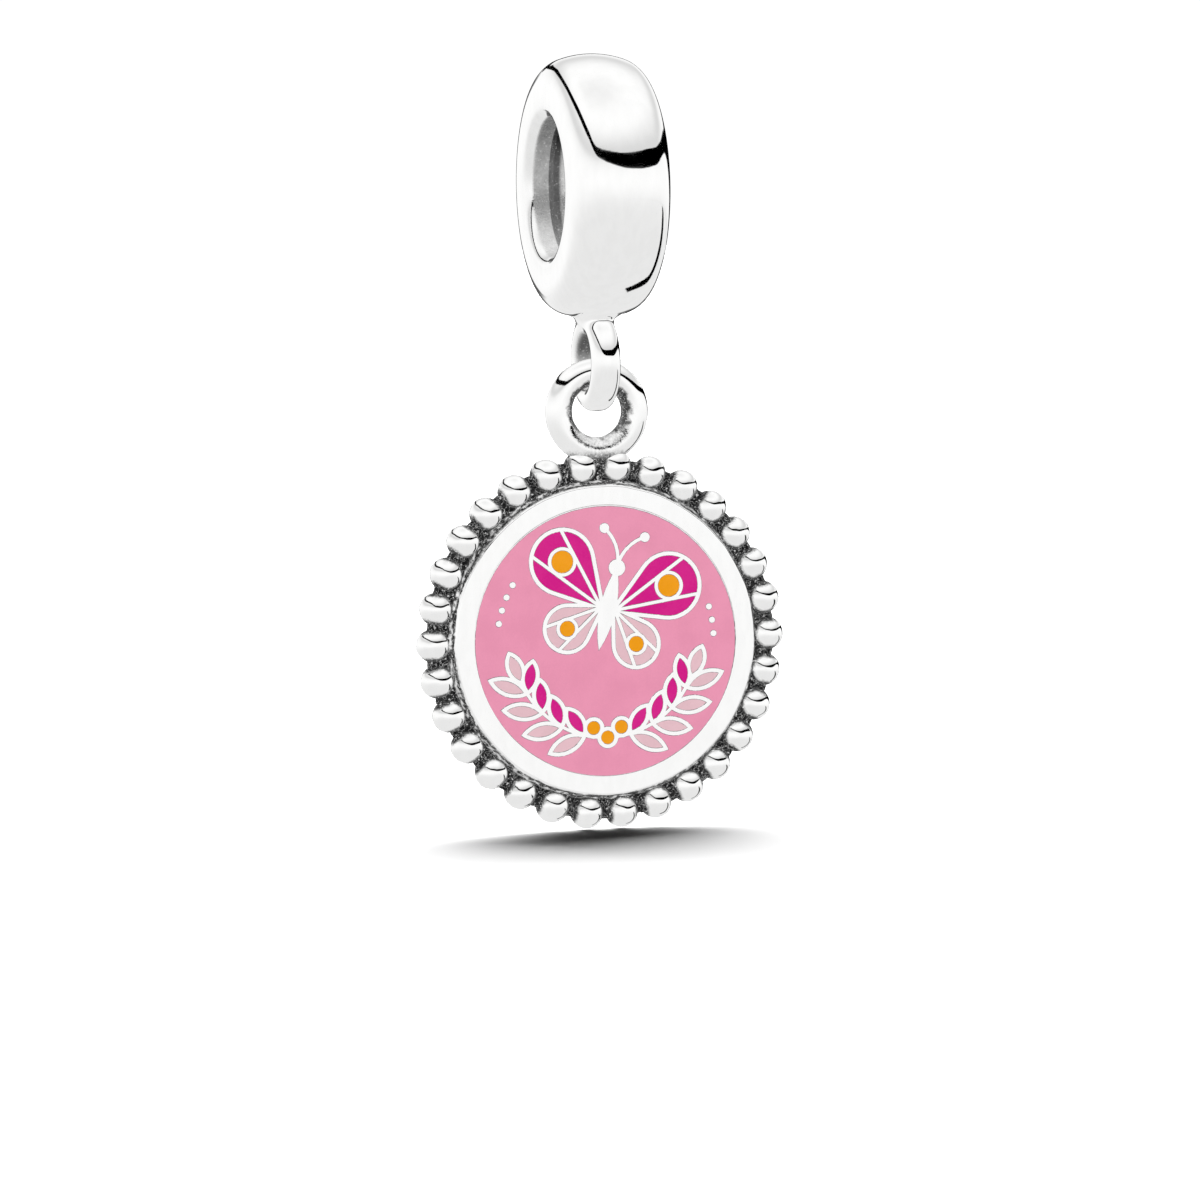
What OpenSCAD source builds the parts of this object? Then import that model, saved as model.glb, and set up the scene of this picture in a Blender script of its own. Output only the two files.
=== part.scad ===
// Dangle charm: a domed bail ring with a soldered drop link, and a round
// medallion with a beaded rim, a top eye and a champleve enamel picture.
// +X runs along the bore of the bail, +Z is up, and the enamel faces -Y.
// The origin is the centre of the bore.

/* [Bail ring] */
// Bore that the bracelet or cord passes through
bore_d = 4.5; // [3.6:0.1:5.6]
// Radial thickness from the bore to the crown of the dome
bail_wall = 1.94; // [1.4:0.02:2.4]
// Width of the ring along the bore
bail_w = 3.2; // [2.4:0.1:4]
// Fall of the dome from its crown to the side faces
crown_drop = 0.46; // [0.3:0.02:0.6]
// Rounding between the dome and the side faces
bail_edge_r = 0.92; // [0.3:0.02:1.1]
// Rounding at each mouth of the bore
mouth_r = 0.3; // [0.1:0.01:0.4]
// Width of the plain lip inside each mouth
lip_w = 0.8; // [0.6:0.02:1]
// Depth of the relieved channel between the lips
channel_depth = 0.3; // [0.1:0.02:0.5]
// Length of the sloped shoulder between a lip and the channel
channel_slope = 0.25; // [0.1:0.01:0.3]

/* [Drop link] */
// Hole through the link
link_hole_d = 1.62; // [1.4:0.02:2]
// Radial thickness of the link's wire
link_wall = 0.75; // [0.5:0.01:0.8]
// Thickness of the link's wire along the bore
link_t = 0.94; // [0.8:0.02:1.1]
// How far the link is sunk into the foot of the bail ring
link_sink = 0.2; // [0.15:0.01:0.4]
// Radius of the solder flare between the link and the bail ring
flare_r = 0.2; // [0.1:0.01:0.3]

/* [Eye] */
// Hole through the medallion's eye
eye_hole_d = 1.64; // [1.56:0.02:2]
// Thickness of the eye's round wire
eye_wire_d = 0.86; // [0.6:0.02:1]
// How far the eye is sunk into the rim of the medallion
eye_sink = 0.12; // [0.1:0.01:0.35]
// Least space between the link and the eye all the way round the swing
swing_gap = 0.03; // [0.02:0.01:0.06]
// How far the swing's axis lies under the middle of the link's lowest wire
pivot_drop = 0.1; // [0:0.01:0.14]

/* [Medallion] */
// Diameter of the flat polished plate
plate_d = 9.84; // [9.2:0.02:11]
// Thickness of the plate
plate_t = 1.22; // [1:0.02:1.8]
// Slope that runs from the plate's edge down to the web, measured outwards
plate_slope = 0.17; // [0.05:0.01:0.3]
// Rounding of the plate's back edge, as a bevel
back_bevel = 0.12; // [0.05:0.01:0.2]
// Space from the plate's edge to the beads
bead_space = 0.1; // [0:0.01:0.3]
// Diameter of a rim bead
bead_d = 1.01; // [0.8:0.01:1.2]
// Space between neighbouring beads
bead_gap = 0.14; // [0.05:0.01:0.4]
// Thickness of the web that carries the beads
web_t = 0.56; // [0.3:0.02:0.8]
// How far the web reaches past the middle of the beads
web_reach = 0.2; // [0.05:0.01:0.3]

/* [Enamel] */
// Diameter of the enamelled field
field_d = 8.6; // [7.8:0.02:8.8]
// Depth of the cells below the polished face
cell_depth = 0.32; // [0.2:0.01:0.45]
// Enamel surface below the polished face
enamel_drop = 0.02; // [0.01:0.01:0.06]
// Room between the enamel and the silver round it
enamel_gap = 0.015; // [0.01:0.005:0.02]
// Width of the raised silver outlines
line_w = 0.12; // [0.1:0.01:0.16]
// Width of the finer veins, stems and feelers
vein_w = 0.1; // [0.09:0.01:0.14]

/* [Hidden] */
$fn = 64;

// A cut runs this far past the faces that it opens
past = 1;
// The flare's thin edge is sunk this far into the ring
lap = 0.02;

// Bail ring
bore_r = bore_d / 2;
bail_r = bore_r + bail_wall;
bail_half = bail_w / 2;
// Radius of the dome's arc, from its chord and its fall
dome_r = (pow(bail_half, 2) + pow(crown_drop, 2)) / (2 * crown_drop);
dome_mid = bail_r - dome_r;
edge_h = bail_half - bail_edge_r;
edge_mid = dome_mid + sqrt(pow(dome_r - bail_edge_r, 2) - pow(edge_h, 2));
channel_half = bail_half - lip_w;

// Drop link
link_in = link_hole_d / 2;
link_mid = link_in + link_wall / 2;
link_z = -(bail_r - link_sink + link_in + link_wall);

// Half of the straight stretch in the middle of the link's oblong wire
link_flat = (link_t - link_wall) / 2;
// Top of the flare: where the dome of the ring has fallen at the flare's edge
flare_out = link_t / 2 + flare_r;
flare_top = dome_mid + sqrt(pow(dome_r, 2) - pow(flare_out, 2)) - lap;

// Eye: its hole holds the link's oblong wire at every angle of the swing
pivot_z = link_z - link_mid - pivot_drop;
eye_in = eye_hole_d / 2;
eye_mid = eye_in + eye_wire_d / 2;
eye_out = eye_in + eye_wire_d;
swing_room = eye_in - link_wall / 2 - swing_gap;
eye_z = pivot_z - swing_room + sqrt(pow(link_flat, 2) + pow(pivot_drop, 2));

// Medallion
plate_r = plate_d / 2;
face_y = -plate_t / 2;
bead_r = bead_d / 2;
bead_ring_r = plate_r + bead_space + bead_r;
bead_count = round(2 * PI * bead_ring_r / (bead_d + bead_gap));
bead_step = 360 / bead_count;
web_r = bead_ring_r + web_reach;
medal_z = eye_z - eye_out + eye_sink - web_r;

// Enamel
field_r = field_d / 2;
floor_y = face_y + cell_depth;

// Butterfly, in shares of the field's radius
fly_at = [0.02, 0.24];
fly_tilt = -14;
body_len = 0.62;
body_w = 0.12;
head_r = 0.062;
feeler_r = 0.3;
feeler_end_r = 0.036;
feeler_turn = 62;
// Each row is one wing of the right side: direction from the body, reach from
// its root to the middle of its round end, and the radii of the end and spot
WING_TURN = 0;
WING_REACH = 1;
WING_END = 2;
WING_SPOT = 3;
WINGS = [[36, 0.45, 0.225, 0.085], [-44, 0.3, 0.16, 0.06]];
fore_wing = WINGS[0];
hind_wing = WINGS[1];
root_u = 0.055;
vein_spread = 13;

// Wreath, in shares of the field's radius
stem_r = 0.71;
stem_turn = 68;
leaf_first = 14;
leaf_step = 15;
leaf_rows = 4;
// Length and turn from the stem of the leaves inside the stem and outside it
LEAVES = [[0.2, 42], [0.25, -38]];
LEAF_LEN = 0;
LEAF_TURN = 1;
inner_leaf = LEAVES[0];
outer_leaf = LEAVES[1];
leaf_w = 0.085;
tip_leaf_len = 0.2;
berry_r = 0.052;
berry_row = [-1, 0, 1];
berry_step = 9.5;
berry_lift = 0.065;

// Granules beside the butterfly, in shares of the field's radius. Each row is
// one arc of them: the angle of its first granule and how many it has
DOT_FIRST = 0;
DOT_COUNT = 1;
DOTS = [[2, 3], [148, 4]];
dot_r = 0.022;
dot_ring = 0.83;
dot_step = 7;

// Repeats the points of one half of an outline below the x axis
function both_halves(half) = concat(half, [for (n = [len(half) - 1 : -1 : 0]) [half[n][0], -half[n][1]]]);

// Ring profile with a domed rim, rounded corners and a lipped bore
module bail_profile() {
    far = dome_r + past;
    rise = far * tan(asin(edge_h / (dome_r - bail_edge_r)));
    mouth_at = [bore_r + mouth_r, bail_half - mouth_r];
    difference() {
        union() {
            polygon(both_halves([[bore_r, mouth_at[1]], mouth_at, [mouth_at[0], bail_half],
                                 [edge_mid, bail_half]]));
            intersection() {
                translate([dome_mid, 0])
                    circle(dome_r);
                polygon(both_halves([[mouth_at[0], edge_h], [edge_mid, edge_h], [dome_mid + far, rise]]));
            }
            for (side = [-1, 1]) {
                translate([mouth_at[0], side * mouth_at[1]])
                    circle(mouth_r);
                intersection() {
                    translate([edge_mid, side * edge_h])
                        circle(bail_edge_r);
                    translate([edge_mid, -bail_half])
                        square([bail_wall, bail_w]);
                }
            }
        }
        polygon(both_halves([[bore_r - past, channel_half], [bore_r, channel_half],
                             [bore_r + channel_depth, channel_half - channel_slope]]));
    }
}

// Oblong wire section with round ends, wide along the ring's axis
module link_section() {
    translate([link_in, -link_flat])
        square([link_wall, 2 * link_flat]);
    for (side = [-1, 1])
        translate([link_mid, side * link_flat])
            circle(link_wall / 2);
}

// Solder at the link's top: a neck that flares into the foot of the ring
module flare() {
    translate([0, 0, -flare_top])
        rotate_extrude()
            difference() {
                translate([0, -flare_r])
                    square([flare_out, flare_r + link_sink]);
                translate([flare_out, -flare_r])
                    circle(flare_r);
            }
}

module bail() {
    color("gainsboro") {
        rotate([0, 90, 0]) {
            rotate_extrude()
                bail_profile();
            translate([-link_z, 0, 0])
                rotate_extrude()
                    link_section();
        }
        flare();
    }
}

// Teardrop that starts in a point at the origin and ends round, along +x.
// grow moves its whole outline outwards by that much.
module teardrop(reach, end_r, grow = 0) {
    lean = asin(end_r / reach);
    r = end_r + grow;
    back = grow / sin(lean);
    touch = (reach + back) * pow(cos(lean), 2) - back;
    rise = (reach + back) * cos(lean) * sin(lean);
    translate([reach, 0])
        circle(r);
    polygon([[-back, 0], [touch, -rise], [reach, 0], [touch, rise]]);
}

// Pointed leaf along +x from the origin. grow moves its outline outwards.
module leaf(len, w, grow = 0) {
    arc_r = (pow(len, 2) + pow(w, 2)) / (4 * w);
    intersection_for (side = [-1, 1])
        translate([len / 2, side * (arc_r - w / 2)])
            circle(arc_r + grow);
}

// Part of a circular line about the origin, from one angle to another
module arc_line(r, w, from, to) {
    far = 2 * (r + w);
    middle = (from + to) / 2;
    intersection() {
        difference() {
            circle(r + w / 2);
            circle(r - w / 2);
        }
        polygon([[0, 0], far * [cos(from), sin(from)], far * [cos(middle), sin(middle)],
                 far * [cos(to), sin(to)]]);
    }
}

// Puts its children in the butterfly's place and turns them with it
module at_fly() {
    translate(field_r * fly_at)
        rotate(fly_tilt)
            children();
}

// Repeats its children for the left and the right side
module both_sides() {
    for (side = [0, 1])
        mirror([side, 0, 0])
            children();
}

// Puts its children at a wing's root with +x along the wing
module at_wing(wing) {
    at_fly()
        both_sides()
            translate([root_u * field_r, 0])
                rotate(wing[WING_TURN])
                    children();
}

module wing_shape(wing, grow = 0) {
    teardrop(wing[WING_REACH] * field_r, wing[WING_END] * field_r, grow);
}

module wing_spot(wing, grow = 0) {
    translate([wing[WING_REACH] * field_r, 0])
        circle(wing[WING_SPOT] * field_r + grow);
}

// Enamel of one wing: the teardrop less its veins and its ringed spot
module wing_cell(wing, grow) {
    reach = wing[WING_REACH] * field_r;
    difference() {
        wing_shape(wing, grow);
        wing_spot(wing, vein_w - grow);
        for (side = [-1, 1])
            rotate(side * vein_spread)
                translate([0, -vein_w / 2 + grow])
                    square([2 * reach, vein_w - 2 * grow]);
    }
}

// Body, head and feelers, all in silver
module fly_body(grow = 0) {
    length = body_len * field_r;
    feeler = feeler_r * field_r;
    head_at = [0, length / 2];
    at_fly() {
        translate([0, -length / 2])
            rotate(90)
                leaf(length, body_w * field_r, grow);
        translate(head_at)
            circle(head_r * field_r + grow);
        both_sides()
            translate(head_at + [feeler, 0]) {
                arc_line(feeler, vein_w + 2 * grow, 180 - feeler_turn, 180);
                rotate(180 - feeler_turn)
                    translate([feeler, 0])
                        circle(feeler_end_r * field_r + grow);
            }
    }
}

// Puts its children on the wreath's stem, with +x along the stem's growth
module at_stem(turn) {
    both_sides()
        rotate(turn - 90)
            translate([stem_r * field_r, 0])
                rotate(90)
                    children();
}

// The leaves on one side of the stem, from a row of the table
module leaves(kind, grow = 0) {
    for (row = [0 : leaf_rows - 1])
        at_stem(leaf_first + row * leaf_step)
            rotate(kind[LEAF_TURN])
                translate([line_w, 0])
                    leaf(kind[LEAF_LEN] * field_r, leaf_w * field_r, grow);
}

module tip_leaf(grow = 0) {
    at_stem(stem_turn)
        leaf(tip_leaf_len * field_r, leaf_w * field_r, grow);
}

module stems(grow = 0) {
    arc_line(stem_r * field_r, vein_w + 2 * grow, -90 - stem_turn, -90 + stem_turn);
}

// Berries in a small bow at the foot of the wreath
module berries(grow = 0) {
    for (n = berry_row)
        rotate(n * berry_step - 90)
            translate([(stem_r - (n == 0 ? 0 : berry_lift)) * field_r, 0])
                circle(berry_r * field_r + grow);
}

module granules(grow = 0) {
    for (arc = DOTS)
        for (n = [0 : arc[DOT_COUNT] - 1])
            rotate(arc[DOT_FIRST] + n * dot_step)
                translate([dot_ring * field_r, 0])
                    circle(dot_r * field_r + grow);
}

// Everything in the field that is silver or is framed by silver
module islands(grow = 0) {
    for (wing = WINGS)
        at_wing(wing)
            wing_shape(wing, line_w + grow);
    fly_body(grow);
    stems(grow);
    for (kind = LEAVES)
        leaves(kind, line_w + grow);
    tip_leaf(line_w + grow);
    berries(line_w + grow);
    granules(grow);
}

// Cells of each colour, with their outline moved by grow
module magenta_cells(grow = 0) {
    difference() {
        union() {
            at_wing(fore_wing)
                wing_cell(fore_wing, grow);
            leaves(inner_leaf, grow);
        }
        fly_body(-grow);
    }
}

module blush_cells(grow = 0) {
    difference() {
        union() {
            at_wing(hind_wing)
                wing_cell(hind_wing, grow);
            leaves(outer_leaf, grow);
            tip_leaf(grow);
        }
        fly_body(-grow);
    }
}

module orange_cells(grow = 0) {
    for (wing = WINGS)
        at_wing(wing)
            wing_spot(wing, grow);
    berries(grow);
}

// Extrudes a flat picture from the cell floor towards the front
module in_field(from, depth) {
    translate([0, from, medal_z])
        rotate([90, 0, 0])
            linear_extrude(depth)
                children();
}

// Plate with a sloped front edge, on the web that carries the beads
module medal_profile() {
    polygon([[0, plate_t / 2], [plate_r - back_bevel, plate_t / 2],
             [plate_r, plate_t / 2 - back_bevel], [plate_r + plate_slope, web_t / 2],
             [web_r, web_t / 2], [web_r, -web_t / 2], [plate_r + plate_slope, -web_t / 2],
             [plate_r, face_y], [0, face_y]]);
}

module beads() {
    for (n = [0 : bead_count - 1])
        rotate([0, (n + 0.5) * bead_step, 0])
            translate([0, 0, bead_ring_r])
                sphere(bead_r);
}

module eye() {
    translate([0, 0, eye_z])
        rotate([90, 0, 0])
            rotate_extrude()
                translate([eye_mid, 0])
                    circle(eye_wire_d / 2);
}

module medallion() {
    color("silver") {
        translate([0, 0, medal_z]) {
            difference() {
                rotate([-90, 0, 0])
                    rotate_extrude()
                        medal_profile();
                translate([0, face_y - past, 0])
                    rotate([-90, 0, 0])
                        cylinder(r = field_r, h = past + cell_depth);
            }
            beads();
        }
        in_field(floor_y, cell_depth)
            difference() {
                islands();
                magenta_cells();
                blush_cells();
                orange_cells();
            }
        eye();
    }
}

// Enamel stands enamel_gap clear of the walls and the floor of its cell
module enamel() {
    in_field(floor_y - enamel_gap, cell_depth - enamel_gap - enamel_drop)
        children();
}

module enamel_ground() {
    color("palevioletred")
        enamel()
            difference() {
                circle(field_r - enamel_gap);
                islands(enamel_gap);
            }
}

module enamel_magenta() {
    color("mediumvioletred")
        enamel()
            magenta_cells(-enamel_gap);
}

module enamel_blush() {
    color("pink")
        enamel()
            blush_cells(-enamel_gap);
}

module enamel_orange() {
    color("orange")
        enamel()
            orange_cells(-enamel_gap);
}

bail();
medallion();
enamel_ground();
enamel_magenta();
enamel_blush();
enamel_orange();
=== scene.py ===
"""Finishes, studio and camera of a silver dangle charm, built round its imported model."""

import logging
import math
from dataclasses import dataclass, field
from enum import Enum
from typing import NamedTuple, Sequence

import bmesh
import bpy
import numpy as np
from mathutils import Matrix, Vector, noise


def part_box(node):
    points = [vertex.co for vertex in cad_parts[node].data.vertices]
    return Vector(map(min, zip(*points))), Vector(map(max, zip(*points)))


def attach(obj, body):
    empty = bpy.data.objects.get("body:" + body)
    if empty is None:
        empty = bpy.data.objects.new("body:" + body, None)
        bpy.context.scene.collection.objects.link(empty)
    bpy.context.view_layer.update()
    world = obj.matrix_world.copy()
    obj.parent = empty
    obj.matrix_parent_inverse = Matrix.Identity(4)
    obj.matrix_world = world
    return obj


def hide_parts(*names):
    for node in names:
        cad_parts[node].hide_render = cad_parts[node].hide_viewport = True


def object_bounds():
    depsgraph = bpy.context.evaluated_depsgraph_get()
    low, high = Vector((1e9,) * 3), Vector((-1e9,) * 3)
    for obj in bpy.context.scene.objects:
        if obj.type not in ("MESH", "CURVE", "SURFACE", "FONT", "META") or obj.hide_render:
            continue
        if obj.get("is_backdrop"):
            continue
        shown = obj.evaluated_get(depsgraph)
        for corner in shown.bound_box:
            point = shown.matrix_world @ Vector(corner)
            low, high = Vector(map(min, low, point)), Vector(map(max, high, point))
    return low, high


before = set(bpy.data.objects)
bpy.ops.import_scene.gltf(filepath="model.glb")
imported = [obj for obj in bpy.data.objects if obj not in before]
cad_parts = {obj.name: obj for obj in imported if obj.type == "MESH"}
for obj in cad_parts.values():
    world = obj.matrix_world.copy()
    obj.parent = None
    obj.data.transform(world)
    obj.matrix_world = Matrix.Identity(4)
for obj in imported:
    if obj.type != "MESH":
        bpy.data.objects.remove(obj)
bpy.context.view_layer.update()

MM = 0.001
# Vertex attribute of how dark the metal is: tarnish together with painted shade
OXIDE_AND_SHADE = "oxide_and_shade"
TINY = 1e-6
SAME_POINT = 1e-5
WELD = 1e-4
# A Mix node has sockets of each name for each kind of data, so its colour sockets go by number
MIX_INPUTS, MIX_OUTPUT = (6, 7), 2
LOG = logging.getLogger("charm")

Array = np.ndarray
Piece = bpy.types.Object
Socket = bpy.types.NodeSocket
Pair = tuple[float, float]
Triple = tuple[float, float, float]
Profile = list[Pair]


class Axis(Enum):
    """The axis that a profile turns about, as the world directions of radius, side and height."""

    BORE = ((0, 0, 1), (0, 1, 0), (1, 0, 0))
    FACE = ((0, 0, 1), (1, 0, 0), (0, 1, 0))


class Merge(Enum):
    """How two closed meshes become one."""

    UNION = "UNION"
    INTERSECT = "INTERSECT"


def arc(centre: Pair, radius: float, start: float, end: float, steps: int) -> Profile:
    """Points along a circular arc, both ends included.

    Args:
        centre: the arc's centre.
        radius: its radius.
        start: the first point's direction, in degrees.
        end: the last point's direction, in degrees.
        steps: how many stretches the arc is cut into.

    Returns:
        The points, in order.
    """
    turns = [math.radians(start + (end - start) * n / steps) for n in range(steps + 1)]
    return [(centre[0] + radius * math.cos(t), centre[1] + radius * math.sin(t)) for t in turns]


def line(start: Pair, end: Pair, pitch: float, support: float = 0.02) -> Profile:
    """Points along a straight stretch, with a support point just inside each end.

    Args:
        start: where the stretch starts.
        end: where it ends.
        pitch: the largest step between points.
        support: how far the support points lie from the ends.

    Returns:
        The points, both ends included.
    """
    a, b = np.array(start, float), np.array(end, float)
    length = float(np.linalg.norm(b - a))
    count = max(1, round(length / pitch))
    shares = {n / count for n in range(count + 1)}
    if length > 3 * support:
        shares |= {support / length, 1 - support / length}
    return [tuple(a + (b - a) * s) for s in sorted(shares)]


def path(corners: Sequence[Pair], pitches: Sequence[float]) -> Profile:
    """Straight stretches from corner to corner, each with its own pitch."""
    return [p for a, b, pitch in zip(corners, corners[1:], pitches) for p in line(a, b, pitch)]


def tidy(points: Profile) -> Profile:
    """Drops points that repeat the one before, and the last if it repeats the first.

    Args:
        points: the profile's points.

    Returns:
        The profile without repeats.
    """
    kept = [points[0]]
    for point in points[1:]:
        if math.dist(point, kept[-1]) > SAME_POINT:
            kept.append(point)
    if math.dist(kept[0], kept[-1]) < SAME_POINT:
        kept.pop()
    return kept


def to_object(name: str, bm: bmesh.types.BMesh) -> Piece:
    """Makes a smooth-shaded mesh object from a mesh in millimetres.

    Args:
        name: the object's name.
        bm: the mesh, which is freed.

    Returns:
        The object, in metres, at the origin.
    """
    bmesh.ops.scale(bm, vec=(MM, MM, MM), verts=bm.verts)
    mesh = bpy.data.meshes.new(name)
    bm.to_mesh(mesh)
    bm.free()
    mesh.shade_smooth()
    obj = bpy.data.objects.new(name, mesh)
    bpy.context.scene.collection.objects.link(obj)
    return obj


def lathe(profile: Profile, axis: Axis, centre: Triple, segments: int) -> bmesh.types.BMesh:
    """Turns a profile about an axis.

    Args:
        profile: points of radius and height. A profile whose ends lie on the axis is closed by
            two poles, and any other is taken as a closed loop.
        axis: the axis.
        centre: the point on the axis that heights are measured from, in millimetres.
        segments: how many steps the turn has.

    Returns:
        A closed mesh in millimetres with its faces pointing outwards.
    """
    out, side, up = (Vector(v) for v in axis.value)
    poles = profile[0][0] < TINY and profile[-1][0] < TINY
    ring = profile[1:-1] if poles else profile
    bm = bmesh.new()
    rows = []
    for n in range(segments):
        turn = 2 * math.pi * n / segments
        spoke = out * math.cos(turn) + side * math.sin(turn)
        rows.append([bm.verts.new(Vector(centre) + spoke * r + up * h) for r, h in ring])
    last = len(ring) - 1 if poles else len(ring)
    for a, b in zip(rows, rows[1:] + rows[:1]):
        for n in range(last):
            m = (n + 1) % len(ring)
            bm.faces.new((a[n], a[m], b[m], b[n]))
    if poles:
        for end in (0, -1):
            pole = bm.verts.new(Vector(centre) + up * profile[end][1])
            for a, b in zip(rows, rows[1:] + rows[:1]):
                bm.faces.new((pole, a[end], b[end]))
    bmesh.ops.recalc_face_normals(bm, faces=bm.faces)
    return bm


def applied(obj: Piece) -> Piece:
    """Swaps an object's mesh for its evaluated one and removes its modifiers.

    Args:
        obj: a mesh object with modifiers.

    Returns:
        The same object, with a plain mesh.
    """
    depsgraph = bpy.context.evaluated_depsgraph_get()
    mesh = bpy.data.meshes.new_from_object(obj.evaluated_get(depsgraph), depsgraph=depsgraph)
    obj.modifiers.clear()
    obj.data = mesh
    return obj


def merged(obj: Piece, tool: Piece, operation: Merge) -> Piece:
    """Joins or intersects two closed meshes and removes the second.

    Args:
        obj: the object that keeps the result.
        tool: the other object.
        operation: which of the two is done.

    Returns:
        The first object, with the result as its mesh.
    """
    modifier = obj.modifiers.new("merge", "BOOLEAN")
    modifier.operation = operation.value
    modifier.solver = "MANIFOLD"
    modifier.object = tool
    bpy.context.view_layer.update()
    applied(obj)
    bpy.data.objects.remove(tool)
    return obj


def places_of(obj: Piece) -> Array:
    """The mesh's vertices in millimetres, one row each."""
    return np.array([v.co for v in obj.data.vertices]) / MM


def normals_of(obj: Piece) -> Array:
    """The mesh's vertex normals, one row each."""
    return np.array([n.vector for n in obj.data.vertex_normals])


def set_places(obj: Piece, points: Array) -> None:
    """Writes new vertex places, given in millimetres."""
    obj.data.vertices.foreach_set("co", (points * MM).ravel())
    obj.data.update()


def set_oxide_and_shade(obj: Piece, amount: Array) -> None:
    """Stores how dark and rough the metal is at each vertex, from 0 to 1, as tarnish and painted shade."""
    layer = obj.data.attributes.get(OXIDE_AND_SHADE) or obj.data.attributes.new(OXIDE_AND_SHADE, "FLOAT", "POINT")
    layer.data.foreach_set("value", np.clip(amount, 0, 1).astype(np.float32))


def ramp(value: Array, low: float, high: float) -> Array:
    """A smooth rise from 0 at low to 1 at high, or a fall where low is above high."""
    t = np.clip((value - low) / (high - low), 0, 1)
    return t * t * (3 - 2 * t)


class Layer(NamedTuple):
    """One layer of lumps: their height, their pitch in millimetres, and a shift that sets the pattern."""

    height: float
    pitch: float
    seed: float


def grain(points: Array, *layers: Layer) -> Array:
    """Smooth noise at each point.

    Args:
        points: places in millimetres.
        layers: the layers that are added up.

    Returns:
        One value for each point.
    """
    total = np.zeros(len(points))
    for height, pitch, seed in layers:
        shift = Vector((seed, 2 * seed, 3 * seed))
        total += height * np.array([noise.noise(Vector(p) / pitch + shift) for p in points])
    return total


def spokes(points: Array, axis: Axis, height: float) -> tuple[Array, Array]:
    """Which way, and how far, points lie from an axis.

    Args:
        points: places in millimetres.
        axis: the axis.
        height: how high it passes over the frame's origin.

    Returns:
        The directions, one row each, and the distances.
    """
    across = (points - (0, 0, height)) * (1 - np.array(axis.value[2]))
    reach = np.linalg.norm(across, axis=1)
    return across / np.maximum(reach, TINY)[:, None], reach


def dress(obj: Piece, finish: "Finish") -> None:
    """Gives a piece one finish all over."""
    obj.data.materials.clear()
    obj.data.materials.append(finish.material())


class Graph:
    """A short way to add and link the nodes of one tree."""

    def __init__(self, tree: bpy.types.NodeTree) -> None:
        """Empties the tree, so that it is built from nothing."""
        self.tree = tree
        tree.nodes.clear()

    def add(self, kind: str, inputs: dict | None = None, **settings: object) -> bpy.types.Node:
        """Adds a node.

        Args:
            kind: the node's type.
            inputs: values or output sockets for its inputs, by name or number.
            settings: its own settings.

        Returns:
            The node.
        """
        node = self.tree.nodes.new(kind)
        for key, value in settings.items():
            setattr(node, key, value)
        for key, value in (inputs or {}).items():
            if isinstance(value, Socket):
                self.tree.links.new(value, node.inputs[key])
            else:
                node.inputs[key].default_value = value
        return node

    def math(self, operation: str, a: object, b: object = 0.0, clamp: bool = False) -> Socket:
        """The result of a Math node on one or two values."""
        return self.add("ShaderNodeMath", {0: a, 1: b}, operation=operation, use_clamp=clamp).outputs[0]

    def spread(self, value: object, span: Pair, to: Pair = (0.0, 1.0)) -> Socket:
        """The value mapped smoothly from one range to another."""
        inputs = dict(zip(("Value", "From Min", "From Max", "To Min", "To Max"), (value, *span, *to)))
        return self.add("ShaderNodeMapRange", inputs, interpolation_type="SMOOTHSTEP").outputs["Result"]

    def blend(self, share: object, a: object, b: object) -> Socket:
        """Colour a, turning into colour b as share goes from 0 to 1."""
        inputs = {"Factor": share, MIX_INPUTS[0]: a, MIX_INPUTS[1]: b}
        return self.add("ShaderNodeMix", inputs, data_type="RGBA").outputs[MIX_OUTPUT]

    def table(self, share: object, stops: Sequence[tuple[float, Triple]]) -> Socket:
        """Up to three values at once, read off a smooth curve along stops.

        Args:
            share: where to read, from 0 to 1.
            stops: places from 0 to 1 in order, each with its three values.

        Returns:
            The values as a colour.
        """
        node = self.add("ShaderNodeValToRGB", {"Fac": share})
        node.color_ramp.interpolation = "B_SPLINE"
        steps = node.color_ramp.elements
        while len(steps) < len(stops):
            steps.new(1.0)
        for step, (place, values) in zip(steps, stops):
            step.position, step.color = place, (*values, 1)
        return node.outputs["Color"]

    def lumps(self, pitch: float, stretch: Triple = (1, 1, 1), detail: float = 2.0) -> Socket:
        """Noise on Object coordinates.

        Args:
            pitch: the size of a lump in millimetres.
            stretch: how much longer the lumps are along each axis.
            detail: how many finer layers are added.

        Returns:
            The noise's value, about 0 to 1.
        """
        place = self.add("ShaderNodeTexCoord").outputs["Object"]
        scale = tuple(1 / (pitch * MM * s) for s in stretch)
        mapped = self.add("ShaderNodeMapping", {"Vector": place, "Scale": scale}).outputs["Vector"]
        inputs = {"Vector": mapped, "Scale": 1.0, "Detail": detail}
        return self.add("ShaderNodeTexNoise", inputs).outputs["Fac"]

    def bump(self, height: Socket, depth: float, under: Socket | None = None,
             strength: float = 1.0) -> Socket:
        """Tilts a surface by a pattern of heights.

        Args:
            height: the pattern, about 0 to 1.
            depth: how deep it is, in millimetres.
            under: the tilted surface that it lies on, if any.
            strength: how much of it shows.

        Returns:
            The tilted surface.
        """
        inputs = {"Height": height, "Distance": depth * MM, "Strength": strength}
        if under is not None:
            inputs["Normal"] = under
        return self.add("ShaderNodeBump", inputs).outputs["Normal"]


@dataclass(frozen=True)
class Finish:
    """What every finish has: a name, under which its material is made once."""

    name: str

    def material(self) -> bpy.types.Material:
        """Finds the finish's material, or makes it on first use.

        Returns:
            The material.
        """
        found = bpy.data.materials.get(self.name)
        if found is None:
            found = bpy.data.materials.new(self.name)
            found.use_nodes = True
            graph = Graph(found.node_tree)
            shader = self.shade(graph)
            graph.add("ShaderNodeOutputMaterial", {"Surface": shader.outputs[0]})
        return found

    def shade(self, graph: Graph) -> bpy.types.Node:
        """Builds the finish's nodes and returns its shader."""
        raise NotImplementedError


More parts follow.
